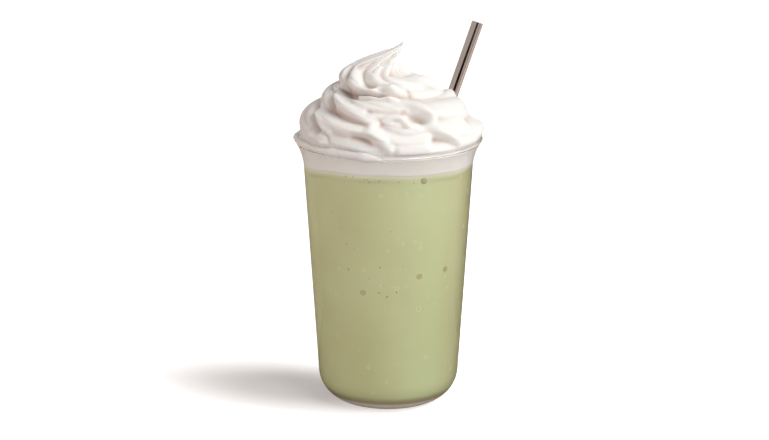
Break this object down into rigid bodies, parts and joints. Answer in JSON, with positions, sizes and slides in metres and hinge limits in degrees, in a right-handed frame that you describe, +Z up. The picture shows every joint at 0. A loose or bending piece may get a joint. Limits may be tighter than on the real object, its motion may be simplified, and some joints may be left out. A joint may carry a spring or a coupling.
{
  "type": "matcha frappe",
  "caption": "Green tea frappe in a clear cup with a flared lip and round base, topped with a piped swirl of cream and a slanting metal straw.",
  "frame": {"origin": "centre of the cup's foot ring, at the level the cup stands on", "axes": "+Z up along the cup's axis, -Y towards the front, +X to the right, where the straw leans"},
  "size_m": [0.0987, 0.098, 0.1976],
  "materials": {
    "cup": "clear thin moulded plastic",
    "frappe": "thick blended ice drink, pale yellow-green",
    "cream": "soft whipped cream, warm white",
    "straw": "polished steel tube"
  },
  "bodies": {
    "root": {"cup": "cup", "frappe": "frappe", "cream": "cream", "straw": "straw"}
  },
  "joints": []
}
